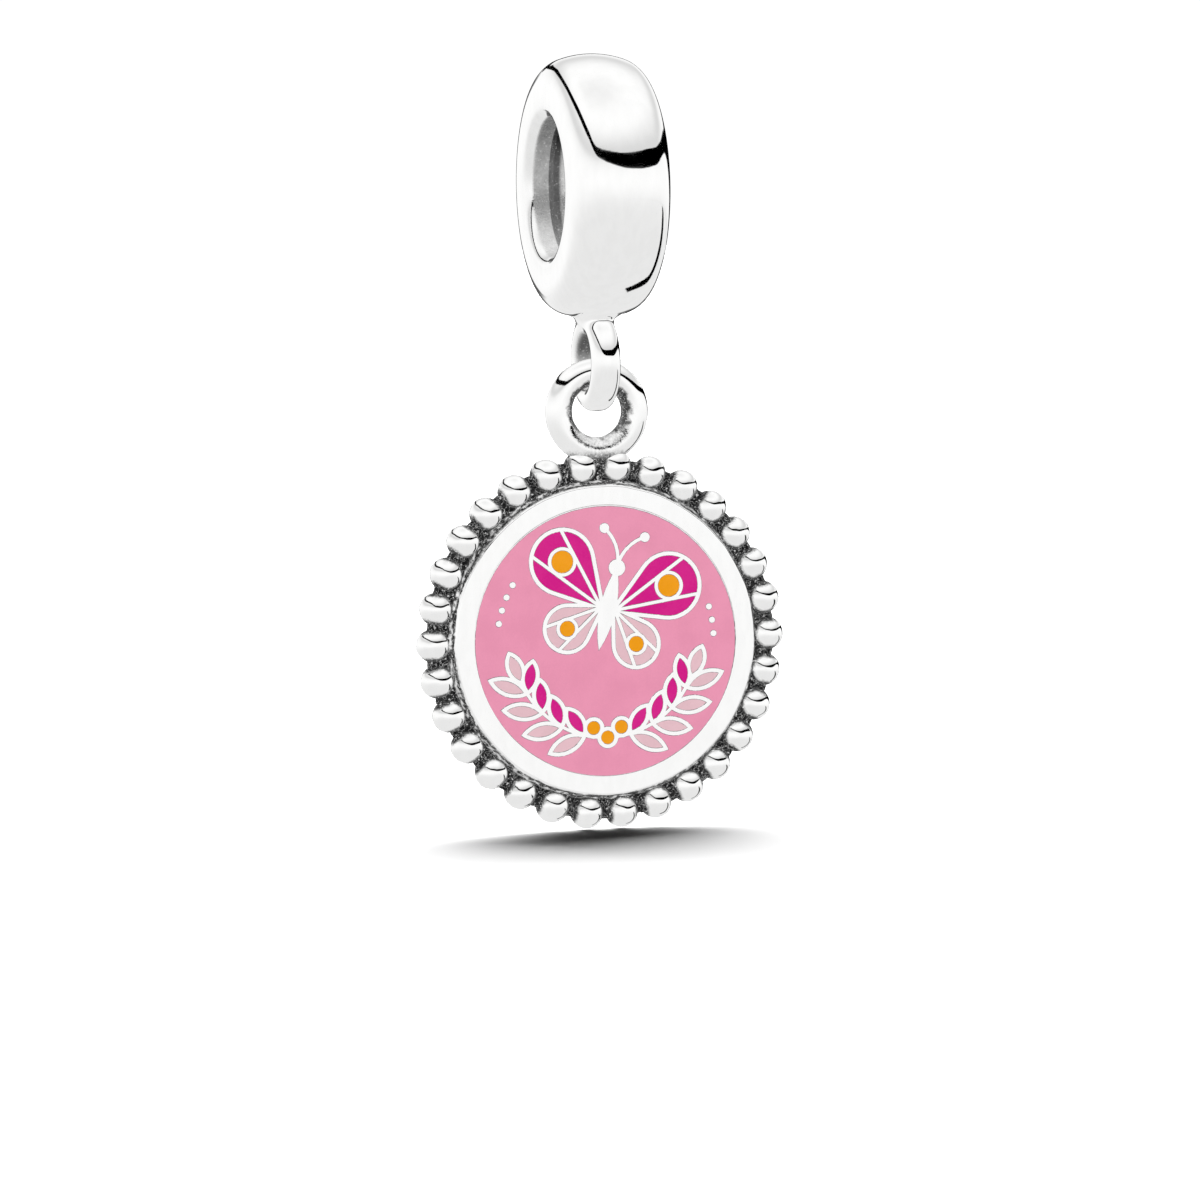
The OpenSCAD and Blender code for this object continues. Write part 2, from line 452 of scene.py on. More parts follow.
@dataclass(frozen=True)
class Silver(Finish):
    """Polished sterling silver, dark and grainy where the polishing wheel doesn't reach and where shade is
    painted on. Millimetres.
    """

    bright: tuple[float, ...] = (0.965, 0.965, 0.96, 1)
    satin: tuple[float, ...] = (0.942, 0.942, 0.937, 1)
    dark: tuple[float, ...] = (0.012, 0.012, 0.013, 1)
    grey: tuple[float, ...] = (0.04, 0.04, 0.04, 1)
    gloss: Pair = (0.03, 0.07)
    dull: float = 0.38
    glints: float = 0.75
    veins: float = 0.5
    ragged: float = 3.6
    film_pitch: float = 0.3
    film_stretch: Triple = (1, 1, 2.5)
    film_span: Pair = (0.35, 0.65)
    haze_pitch: float = 0.9
    haze_span: Pair = (0.3, 0.7)
    wave_pitch: float = 1.6
    waviness: float = 0.004
    scratch_pitch: float = 0.05
    scratch_stretch: Triple = (14, 1, 3)
    scratch_depth: float = 0.0004
    grain_pitch: float = 0.07
    grain_depth: float = 0.02
    grey_span: Pair = (0.38, 0.62)
    glint_span: Pair = (0.64, 0.72)
    vein_span: Pair = (0.022, 0.006)
    patch_size: float = 4
    glint_size: float = 1.3
    vein_size: float = 2

    def shade(self, graph: Graph) -> bpy.types.Node:
        """Builds the metal: one shader, whose colour, roughness and bump follow the darkness attribute of
        tarnish and painted shade.

        Args:
            graph: the material's tree.

        Returns:
            The shader.
        """
        tone = graph.add("ShaderNodeAttribute", attribute_name=OXIDE_AND_SHADE).outputs["Fac"]
        fine = graph.lumps(self.grain_pitch, detail=3.0)
        patch = graph.lumps(self.grain_pitch * self.patch_size, detail=2.0)
        edge = graph.math("MULTIPLY", tone, graph.math("SUBTRACT", 1.0, tone))
        mixed = graph.math("ADD", patch, fine)
        eaten = graph.math("MULTIPLY", graph.math("SUBTRACT", mixed, 1.0), self.ragged)
        broken = graph.math("ADD", tone, graph.math("MULTIPLY", edge, eaten), clamp=True)

        specks = graph.lumps(self.grain_pitch * self.glint_size, detail=1.0)
        ridges = graph.lumps(self.grain_pitch * self.vein_size, detail=1.0)
        ridge = graph.math("ABSOLUTE", graph.math("SUBTRACT", ridges, 0.5))
        glint = graph.math("MAXIMUM", graph.spread(specks, self.glint_span, (0.0, self.glints)),
                           graph.spread(ridge, self.vein_span, (0.0, self.veins)))
        deep = graph.blend(graph.spread(fine, self.grey_span), self.dark, self.grey)
        recess = graph.blend(glint, deep, self.bright)
        streaks = graph.lumps(self.film_pitch, self.film_stretch, detail=4.0)
        film = graph.spread(streaks, self.film_span)
        colour = graph.blend(broken, graph.blend(film, self.bright, self.satin), recess)

        haze = graph.spread(graph.lumps(self.haze_pitch), self.haze_span, self.gloss)
        rough = graph.math("ADD", haze, graph.math("MULTIPLY", broken, self.dull))
        wave = graph.bump(graph.lumps(self.wave_pitch, detail=0.0), self.waviness)
        brushed = graph.lumps(self.scratch_pitch, self.scratch_stretch)
        scratch = graph.bump(brushed, self.scratch_depth, wave)
        pits = graph.bump(graph.math("MULTIPLY", fine, broken), self.grain_depth, scratch)
        return graph.add("ShaderNodeBsdfPrincipled", {
            "Base Color": colour, "Metallic": 1.0, "Roughness": rough, "Normal": pits})


@dataclass(frozen=True)
class Enamel(Finish):
    """Opaque vitreous enamel: a glassy surface with a faint ripple and a fine uneven tone. Millimetres."""

    tint: Triple = (0.8, 0.3, 0.4)
    uneven: float = 0.02
    lift: float = 0.01
    cloud_pitch: float = 0.8
    cloud_share: float = 0.7
    powder_pitch: float = 0.06
    powder_share: float = 0.3
    tone_span: Pair = (0.35, 0.65)
    ripple_pitch: float = 0.7
    ripple: float = 0.0012
    roughness: float = 0.22
    ior: float = 1.5
    specular: float = 0.12
    coat: float = 0.15
    coat_roughness: float = 0.04

    def shade(self, graph: Graph) -> bpy.types.Node:
        """Builds the enamel's nodes.

        Args:
            graph: the material's tree.

        Returns:
            The shader.
        """
        cloud = graph.math("MULTIPLY", graph.lumps(self.cloud_pitch, detail=3.0), self.cloud_share)
        powder = graph.math("MULTIPLY", graph.lumps(self.powder_pitch, detail=1.0), self.powder_share)
        share = graph.spread(graph.math("ADD", cloud, powder), self.tone_span)
        deep = tuple(c * (1 - self.uneven) for c in self.tint) + (1,)
        pale = tuple(min(1.0, c * (1 + self.uneven) + self.lift) for c in self.tint) + (1,)
        rippled = graph.bump(graph.lumps(self.ripple_pitch, detail=1.0), self.ripple)
        return graph.add("ShaderNodeBsdfPrincipled", {
            "Base Color": graph.blend(share, deep, pale), "Normal": rippled, "IOR": self.ior,
            "Roughness": self.roughness, "Specular IOR Level": self.specular,
            "Coat Weight": self.coat, "Coat Roughness": self.coat_roughness})


@dataclass(frozen=True)
class Paper(Finish):
    """The plain pale floor. Millimetres."""

    tint: Triple = (0.93, 0.93, 0.93)
    tooth_pitch: float = 0.4
    tooth_depth: float = 0.01
    tooth_strength: float = 0.2
    roughness: float = 0.9

    def shade(self, graph: Graph) -> bpy.types.Node:
        """Builds the floor's nodes: a matt sheet with a very faint tooth."""
        tooth = graph.bump(graph.lumps(self.tooth_pitch), self.tooth_depth, strength=self.tooth_strength)
        return graph.add("ShaderNodeBsdfPrincipled", {
            "Base Color": self.tint + (1,), "Roughness": self.roughness, "Specular IOR Level": 0.0,
            "Normal": tooth})


BRIGHT_SILVER = Silver("polished_silver", dull=0.7, glints=0.35, veins=0.0, ragged=1.0, grain_pitch=0.06)
CAST_SILVER = Silver("oxidised_silver")
GROUND_PINK = Enamel("pink_enamel", tint=(0.808, 0.294, 0.438))
WING_MAGENTA = Enamel("magenta_enamel", tint=(0.64, 0.004, 0.233))
LEAF_BLUSH = Enamel("blush_enamel", tint=(0.768, 0.503, 0.554))
BERRY_ORANGE = Enamel("orange_enamel", tint=(0.865, 0.327, 0.0))
FLOOR_PAPER = Paper("floor_paper")
FILLS = {"enamel_ground": GROUND_PINK, "enamel_magenta": WING_MAGENTA, "enamel_blush": LEAF_BLUSH,
         "enamel_orange": BERRY_ORANGE}


@dataclass
class BailRing:
    """The domed ring that the strand passes through, with the link soldered under it. Millimetres."""

    # Ring
    bore_r: float = 2.25
    wall: float = 1.94
    width: float = 3.2
    crown_drop: float = 0.46
    edge_r: float = 0.92
    mouth_r: float = 0.3
    lip_w: float = 0.8
    channel_depth: float = 0.3
    channel_slope: float = 0.25
    # Link, and the fillet where it is soldered on
    link_in: float = 0.81
    link_wall: float = 0.75
    link_t: float = 0.94
    fillet: float = 0.42
    join_reach: float = 1.2
    join_depth: float = 0.05
    join_pitches: Triple = (0.1, 0.07, 0.07)
    join_weld: float = 0.004
    join_passes: int = 14
    slope_steps: int = 3
    probe: float = 0.002
    flattest: float = 0.2
    # How fine the meshes are
    pitch: float = 0.08
    arc_steps: int = 20
    mouth_steps: int = 8
    segments: int = 256
    link_segments: int = 144
    # How dark the metal is, from 0 to 1, as tarnish with painted shade and painted light, and where that
    # starts and is full
    film: float = 0.04
    bore_skin: Pair = (0.55, 0.35)
    mouth_span: Pair = (0.8, 1.15)
    lip_dark: float = 0.44
    channel_dark: float = 0.34
    channel_span: Pair = (0.02, -0.02)
    middle_painted_light: float = 0.5
    middle_span: Pair = (0.38, 0.28)
    roof_painted_shade: float = 0.25
    roof_span: Pair = (0.5, 2.2)
    sole_painted_light: float = 0.2
    sole_span: Pair = (0.8, 2.0)
    link_dark: float = 0.35
    link_skin: Pair = (0.35, 0.15)
    foot_painted_shade: float = 0.5
    foot_span: Pair = (-0.2, 0.5)
    hollow_span: Pair = (0.45, 0.9)
    # Names in the frame, and what follows from the sizes
    body: str = "bail"
    node: str = "bail"
    half: float = field(init=False)
    dome_r: float = field(init=False)
    dome_mid: float = field(init=False)
    edge_h: float = field(init=False)
    edge_mid: float = field(init=False)
    link_mid: float = field(init=False)
    link_flat: float = field(init=False)
    link_z: float = field(init=False)

    def __post_init__(self) -> None:
        """Works out the arcs of the section, and the link's place from the node's lowest point."""
        self.half = self.width / 2
        self.dome_r = (self.half ** 2 + self.crown_drop ** 2) / (2 * self.crown_drop)
        self.dome_mid = self.bore_r + self.wall - self.dome_r
        self.edge_h = self.half - self.edge_r
        self.edge_mid = self.dome_mid + math.sqrt((self.dome_r - self.edge_r) ** 2 - self.edge_h ** 2)
        self.link_mid = self.link_in + self.link_wall / 2
        self.link_flat = (self.link_t - self.link_wall) / 2
        self.link_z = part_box(self.node)[0].z / MM + self.link_in + self.link_wall

    def section(self) -> Profile:
        """Draws the ring's section.

        Returns:
            A closed loop of radius and place along the bore.
        """
        turn = math.degrees(math.asin(self.edge_h / (self.dome_r - self.edge_r)))
        mouth = (self.bore_r + self.mouth_r, self.half - self.mouth_r)
        channel_half = self.half - self.lip_w
        deep = (self.bore_r + self.channel_depth, channel_half - self.channel_slope)
        upper = arc((self.dome_mid, 0), self.dome_r, 0, turn, self.arc_steps)
        upper += arc((self.edge_mid, self.edge_h), self.edge_r, turn, 90, self.arc_steps)
        upper += line((self.edge_mid, self.half), (mouth[0], self.half), 2 * self.pitch)
        upper += arc(mouth, self.mouth_r, 90, 180, self.mouth_steps)
        bore = ((self.bore_r, mouth[1]), (self.bore_r, channel_half), deep, (deep[0], 0))
        upper += path(bore, [self.pitch] * 3)
        return tidy(upper + [(r, -x) for r, x in reversed(upper)])

    def link_section(self) -> Profile:
        """The link's oblong section as a closed loop."""
        end = arc((self.link_mid, self.link_flat), self.link_wall / 2, 0, 180, self.arc_steps)
        return tidy(end + [(2 * self.link_mid - r, -x) for r, x in end])

    def distances(self, p: Array) -> tuple[Array, Array]:
        """Measures from the ring, without its bore, and from the link.

        Args:
            p: places in millimetres.

        Returns:
            How far each place lies outside the ring's surface, and outside the link's.
        """
        radius, side = np.hypot(p[:, 1], p[:, 2]), np.abs(p[:, 0])
        dome = np.hypot(radius - self.dome_mid, side) - (self.dome_r - self.edge_r)
        slab = side - self.edge_h
        corner = np.hypot(radius - self.edge_mid, slab)
        outside = (dome > 0) & (slab > 0)
        ring = np.where(outside, corner, np.maximum(dome, slab)) - self.edge_r
        across = np.hypot(p[:, 1], p[:, 2] - self.link_z) - self.link_mid
        return ring, np.hypot(across, np.maximum(side - self.link_flat, 0)) - self.link_wall / 2

    def joined_distance(self, p: Array) -> Array:
        """Measures from ring and link as one, with a fillet where they meet.

        Args:
            p: places in millimetres.

        Returns:
            How far each place lies outside the surface.
        """
        a, b = self.distances(p)
        near = np.maximum(self.fillet - np.abs(a - b), 0) / self.fillet
        return np.minimum(a, b) - near ** 2 * self.fillet / 4

    def near_join(self, p: Array) -> Array:
        """Whether each place lies on the surface near where link and ring meet."""
        a, b = self.distances(p)
        return (np.maximum(a, b) < self.join_reach * self.fillet) & (np.minimum(a, b) > -self.join_depth)

    def on_fillet(self, p: Array) -> Array:
        """Moves places onto the joined surface, in a few steps along its slope.

        Args:
            p: places in millimetres.

        Returns:
            The moved places.
        """
        for _ in range(self.slope_steps):
            slope = np.stack([self.joined_distance(p + shift) - self.joined_distance(p - shift)
                              for shift in self.probe * np.eye(3)], axis=1) / (2 * self.probe)
            steep = np.maximum((slope ** 2).sum(axis=1), self.flattest)
            p = p - slope * (self.joined_distance(p) / steep)[:, None]
        return p

    def solder(self, obj: Piece) -> None:
        """Evens out the mesh where the link meets the ring and moves it onto a smooth fillet.

        Args:
            obj: the ring and the link as one mesh.
        """
        bm = bmesh.new()
        bm.from_mesh(obj.data)
        bmesh.ops.scale(bm, vec=(1 / MM,) * 3, verts=bm.verts)
        for longest in self.join_pitches:
            near = self.near_join(np.array([(e.verts[0].co + e.verts[1].co) / 2 for e in bm.edges]))
            edges = [e for e, ok in zip(bm.edges, near) if ok and e.calc_length() > longest]
            bmesh.ops.subdivide_edges(bm, edges=edges, cuts=1, use_grid_fill=True)
            near = self.near_join(np.array([f.calc_center_median() for f in bm.faces]))
            faces = [f for f, ok in zip(bm.faces, near) if ok or len(f.verts) > 4]
            bmesh.ops.triangulate(bm, faces=faces)
        bmesh.ops.remove_doubles(bm, verts=bm.verts, dist=self.join_weld)
        bm.verts.ensure_lookup_table()
        places = np.array([v.co for v in bm.verts])
        moving = np.nonzero(self.near_join(places))[0]
        neighbours = [[e.other_vert(bm.verts[n]).index for e in bm.verts[n].link_edges] for n in moving]
        for _ in range(self.join_passes):
            mean = np.array([places[ns].mean(axis=0) for ns in neighbours])
            places[moving] = self.on_fillet((places[moving] + mean) / 2)
        for vert, place in zip(bm.verts, places):
            vert.co = place
        bmesh.ops.recalc_face_normals(bm, faces=bm.faces)
        bmesh.ops.scale(bm, vec=(MM,) * 3, verts=bm.verts)
        bm.to_mesh(obj.data)
        bm.free()
        obj.data.shade_smooth()

    def oxide_and_shade(self, obj: Piece) -> Array:
        """Works out how dark the metal is in the bore and on the inner side of the link, as tarnish with
        painted shade and painted light.

        Args:
            obj: the ring and the link as one mesh.

        Returns:
            The darkness at each vertex.
        """
        p = places_of(obj)
        side, height = np.abs(p[:, 0]), p[:, 2]
        _, radius = spokes(p, Axis.BORE, 0)
        # Painted shade darkens the bore on top of its tarnish: more towards the top, with painted light
        # making it paler towards the bottom and along the middle
        inside = ramp(radius - self.bore_r, *self.bore_skin)
        lip = ramp((self.half - side) / self.mouth_r, *self.mouth_span)
        channel = ramp(side - self.half + self.lip_w, *self.channel_span)
        middle = ramp(side, *self.middle_span)
        roof, sole = ramp(height, *self.roof_span), ramp(-height, *self.sole_span)
        lip = lip * (self.lip_dark + self.roof_painted_shade * roof - self.sole_painted_light * sole)
        bore = inside * (self.film + lip + self.channel_dark * channel - self.middle_painted_light * middle)

        # Painted shade on the link's inner side, deeper towards the ring
        spoke, reach = spokes(p, Axis.BORE, self.link_z)
        inward = -(normals_of(obj) * spoke).sum(axis=1)
        on_link = (radius > self.bore_r + self.wall - self.crown_drop) & (height < 0)
        foot = ramp(height - self.link_z, *self.foot_span)
        hollow = ramp(inward, *self.hollow_span) * ramp(reach - self.link_in, *self.link_skin)
        link = np.where(on_link, hollow * (self.link_dark + self.foot_painted_shade * foot), 0)
        return np.maximum(bore, link)

    def build(self) -> list[Piece]:
        """Builds the ring and its link as one solid and dresses it.

        Returns:
            The piece, riding on its body.
        """
        ring = to_object("bail_ring", lathe(self.section(), Axis.BORE, (0, 0, 0), self.segments))
        loop = lathe(self.link_section(), Axis.BORE, (0, 0, self.link_z), self.link_segments)
        merged(ring, to_object("link_blank", loop), Merge.UNION)
        self.solder(ring)
        set_oxide_and_shade(ring, self.oxide_and_shade(ring))
        dress(ring, BRIGHT_SILVER)
        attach(ring, self.body)
        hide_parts(self.node)
        ring.visible_glossy = False
        return [ring]


@dataclass
class Medallion:
    """The cast medallion: plate, rough web, bead rim, eye and the picture's silver lines. Millimetres."""

    # Plate
    plate_r: float = 4.92
    plate_slope: float = 0.17
    back_bevel: float = 0.12
    face_round: float = 0.05
    field_r: float = 4.3
    bed_depth: float = 0.03
    bed_lip: float = 0.008
    round_steps: int = 8
    plate_pitches: tuple[float, ...] = (0.6, 0.1, 0.15, 0.2)
    edge_wander: float = 0.022
    edge_layers: tuple[Layer, ...] = (Layer(1.0, 0.9, 3.0), Layer(0.6, 0.35, 5.0))
    edge_span: Pair = (-0.12, -0.02)
    flank_dark: float = 0.9
    flank_span: Pair = (-0.01, 0.03)
    flank_half: float = 0.5
    bed_dark: float = 0.8
    bed_span: Pair = (0.006, 0.0)
    # Web
    web_half: float = 0.17
    web_reach: float = 0.2
    web_tuck: float = 0.14
    web_seam: float = 0.015
    web_drop: Pair = (0.09, 0.03)
    web_tail: float = 0.05
    web_steps: int = 16
    web_end: float = 0.12
    web_pitches: tuple[Triple, Pair] = ((0.04, 0.03, 0.035), (0.05, 0.04))
    web_layers: tuple[Layer, ...] = (Layer(0.6, 0.32, 1.0), Layer(0.5, 0.14, 7.0), Layer(0.25, 0.07, 11.0))
    rough: float = 0.055
    rough_from: float = 0.05
    web_dark_span: Pair = (-0.03, 0.04)
    lip_at: float = 0.1
    lip_span: Pair = (0.05, 0.015)
    lip_breaks: Layer = Layer(1.0, 0.16, 9.0)
    lip_break_span: Pair = (-0.15, 0.2)
    lip_worn: float = 0.75
    top_worn: float = 0.15
    top_span: Pair = (0.25, 0.7)
    # Beads, whose spans are shares of their radius and place painted shade on each bead's sides and foot
    bead_r: float = 0.505
    bead_swell: float = 0.022
    bead_count: int = 30
    bead_steps: tuple[int, int] = (44, 28)
    bead_foot: Pair = (0.1, -0.4)
    bead_shelter: Pair = (0.7, 0.5)
    bead_flank_shade: Pair = (0.64, 0.82)
    bead_top: Pair = (0.85, 0.6)
    bead_front: Pair = (0.92, 0.74)
    # Eye
    eye_wire_r: float = 0.43
    eye_in: float = 0.82
    eye_steps: tuple[int, int] = (64, 200)
    eye_dark: float = 0.95
    eye_sunlit: float = 0.25
    sunlit_span: Pair = (0.3, 0.9)
    eye_thinner: float = 0.32
    eye_hollow: float = 0.2
    hollow_span: Pair = (0.0, 0.15)
    eye_span: Pair = (0.36, 0.7)
    eye_foot: Pair = (-0.35, -0.75)
    eye_ragged: Layer = Layer(0.25, 0.2, 6.0)
    eye_wander: Layer = Layer(0.012, 0.9, 2.0)
    wander_span: Pair = (0.5, -0.3)
    eye_pits: Layer = Layer(0.025, 0.2, 8.0)
    # Picture lines
    cell_depth: float = 0.32
    cell_gap: float = 0.006
    cut_over: float = 0.2
    cut_under: float = 0.08
    # Steps of a turned piece
    segments: int = 240
    # Names in the frame, and what follows from the sizes
    body: str = "medallion"
    node: str = "medallion"
    centre_z: float = field(init=False)
    bead_ring_r: float = field(init=False)
    face_y: float = field(init=False)
    back_y: float = field(init=False)
    eye_z: float = field(init=False)

    def __post_init__(self) -> None:
        """Takes the medallion's middle, face and eye from the node's corners."""
        low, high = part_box(self.node)
        self.bead_ring_r = high.x / MM - self.bead_r
        self.centre_z = low.z / MM + high.x / MM
        self.face_y, self.back_y = low.y / MM, -low.y / MM
        self.eye_z = high.z / MM - self.eye_in - 2 * self.eye_wire_r

    def turned(self, points: Profile, segments: int) -> bmesh.types.BMesh:
        """A profile of radius and depth, turned about the middle of the plate."""
        return lathe(points, Axis.FACE, (0, 0, self.centre_z), segments)

    def plate(self) -> Piece:
        """Makes the polished plate, with a shallow bed that the enamel lies in.

        Returns:
            The plate.
        """
        face, back, rnd, bevel = self.face_y, self.back_y, self.face_round, self.back_bevel
        bed, waist = face + self.bed_depth, self.plate_r + self.plate_slope / 2
        broad, step, ledge, rim = self.plate_pitches
        points = line((0, bed), (self.field_r, bed), broad)
        points += line((self.field_r, bed), (self.field_r, face + self.bed_lip), step, self.bed_lip)
        points += line((self.field_r + self.bed_lip, face), (self.plate_r - rnd, face), ledge)
        points += arc((self.plate_r - rnd, face + rnd), rnd, -90, 0, self.round_steps)
        points += line((waist, -self.web_half), (waist, self.web_half), rim)
        points += [(self.plate_r, back - bevel)]
        points += arc((self.plate_r - bevel, back - bevel), bevel, 0, 90, self.round_steps)
        points += line((self.plate_r - bevel, back), (0, back), broad)
        plate = to_object("medal_plate", self.turned(tidy(points), self.segments))

        p = places_of(plate)
        spoke, radius = spokes(p, Axis.FACE, self.centre_z)
        edge = ramp(radius - self.plate_r, *self.edge_span) * (p[:, 1] < 0)
        push = edge * self.edge_wander * grain(p, *self.edge_layers)
        set_places(plate, p + spoke * push[:, None])
        flank = ramp(radius - self.plate_r, *self.flank_span) * (np.abs(p[:, 1]) < self.flank_half)
        under = ramp(radius - self.field_r, *self.bed_span) * (p[:, 1] < face + 2 * self.bed_depth)
        set_oxide_and_shade(plate, np.maximum(self.flank_dark * flank, self.bed_dark * under))
        return plate

    def web(self) -> Piece:
        """Makes the rough cast band between the plate and the beads, darkened in its hollows.

        Returns:
            The band.
        """
        inside, outer = self.plate_r - self.web_tuck, self.bead_ring_r + self.web_reach
        seam, foot = self.plate_r - self.web_seam, self.plate_r + self.plate_slope
        half, base = self.web_half, self.back_y - self.back_bevel
        tuck, drop = (self.face_y + depth for depth in self.web_drop)
        end = outer - self.web_end
        points = path(((inside, tuck), (seam, drop), (foot, -half), (end, -half)), self.web_pitches[0])
        points += arc((outer - half, 0), half, -90, 90, self.web_steps)
        points += path(((end, half), (foot, half), (seam, base)), self.web_pitches[1])
        points += [(inside, base - self.web_tail)]
        web = to_object("rim_web", self.turned(tidy(points), 3 * self.segments))

        p = places_of(web)
        _, radius = spokes(p, Axis.FACE, self.centre_z)
        free = ramp(radius, inside, self.plate_r + self.rough_from)
        height = grain(p, *self.web_layers)
        lip = ramp(np.abs(radius - self.plate_r - self.lip_at), *self.lip_span) * (p[:, 1] < 0)
        broken = ramp(grain(p, self.lip_breaks), *self.lip_break_span)
        set_places(web, p + normals_of(web) * (self.rough * free * height)[:, None])
        worn = np.maximum(self.top_worn * ramp(height, *self.top_span), self.lip_worn * lip * broken)
        set_oxide_and_shade(web, (1 - worn) * ramp(radius - self.plate_r, *self.web_dark_span))
        return web

    def bead_blank(self) -> Piece:
        """Makes one bead about the origin, its outward side up, with painted shade where its neighbours and
        the web sit.

        Returns:
            The bead.
        """
        (across, along), radius = self.bead_steps, self.bead_r + self.bead_swell
        bm = bmesh.new()
        bmesh.ops.create_uvsphere(bm, u_segments=across, v_segments=along, radius=radius)
        bmesh.ops.rotate(bm, cent=(0, 0, 0), matrix=Matrix.Rotation(math.pi / 2, 3, "X"), verts=bm.verts)
        blank = to_object("rim_beads", bm)
        side, depth, outward = (places_of(blank) / radius).T
        side, depth = np.abs(side), np.abs(depth)
        # Painted shade, with a little tarnish, on the bead's inner side where the web meets it, and painted
        # shade and reflection of the neighbouring beads on its sides
        inner = ramp(outward, *self.bead_foot) * ramp(depth, *self.bead_shelter)
        flank = ramp(side, *self.bead_flank_shade) * ramp(outward, *self.bead_top) * ramp(depth, *self.bead_front)
        set_oxide_and_shade(blank, np.maximum(inner, flank))
        return blank

    def beads(self) -> Piece:
        """The bead rim: one bead repeated round the medallion, each a little uneven."""
        rim = BeadRim(self.bead_count, self.bead_ring_r - 0.5 * self.bead_swell, self.centre_z)
        return rim.apply(self.bead_blank())

    def eye(self) -> Piece:
        """Makes the round eye on top of the rim.

        Returns:
            The eye.
        """
        loop = tidy(arc((self.eye_in + self.eye_wire_r, 0), self.eye_wire_r, 0, 360, self.eye_steps[0]))
        eye = to_object("medal_eye", lathe(loop, Axis.FACE, (0, 0, self.eye_z), self.eye_steps[1]))
        p, normals = places_of(eye), normals_of(eye)
        spoke, _ = spokes(p, Axis.FACE, self.eye_z)
        # The hole's inner wall is darkened as rough tarnish with painted shade, less on its upward-facing
        # lower part, which is painted light
        inward = -(normals * spoke).sum(axis=1)
        sunlit = ramp(-spoke[:, 2], *self.sunlit_span)
        deep = inward - self.eye_thinner * sunlit + grain(p, self.eye_ragged)
        hole = ramp(deep, *self.eye_span) * (self.eye_dark - self.eye_sunlit * sunlit)
        hole = np.maximum(hole, self.eye_hollow * sunlit * ramp(inward, *self.hollow_span))
        rise = p[:, 2] - self.eye_z
        wander = grain(p, self.eye_wander) * ramp(rise, *self.wander_span)
        pits = hole * np.minimum(grain(p, self.eye_pits), 0)
        set_places(eye, p + normals * (wander + pits)[:, None])
        # Painted shade at the eye's foot, where it meets the rim
        foot = ramp(rise + self.eye_in, *self.eye_foot)
        set_oxide_and_shade(eye, np.maximum(hole, foot))
        return eye

    def lines(self) -> Piece:
        """Cuts the raised silver outlines of the picture from a copy of the cast node.

        Returns:
            The lines.
        """
        bm = bmesh.new()
        bm.from_mesh(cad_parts[self.node].data)
        bmesh.ops.scale(bm, vec=(1 / MM,) * 3, verts=bm.verts)
        bmesh.ops.remove_doubles(bm, verts=bm.verts, dist=WELD)
        lines = to_object("picture_lines", bm)
        reach = self.field_r - self.cell_gap
        top, floor = self.face_y - self.cut_over, self.face_y + self.cell_depth + self.cut_under
        core = self.turned([(0, top), (reach, top), (reach, floor), (0, floor)], self.segments)
        merged(lines, to_object("cutter", core), Merge.INTERSECT)
        lines.data.shade_flat()
        set_oxide_and_shade(lines, np.zeros(len(lines.data.vertices)))
        return lines

    def build(self) -> list[Piece]:
        """Builds and dresses every silver piece of the medallion.

        Returns:
            The pieces, riding on the medallion's body.
        """
        plate = self.plate()
        pieces = [plate, self.web(), self.beads(), self.eye(), self.lines()]
        for piece in pieces:
            dress(piece, CAST_SILVER)
            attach(piece, self.body)
            piece.visible_glossy = False
        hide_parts(self.node)
        return pieces


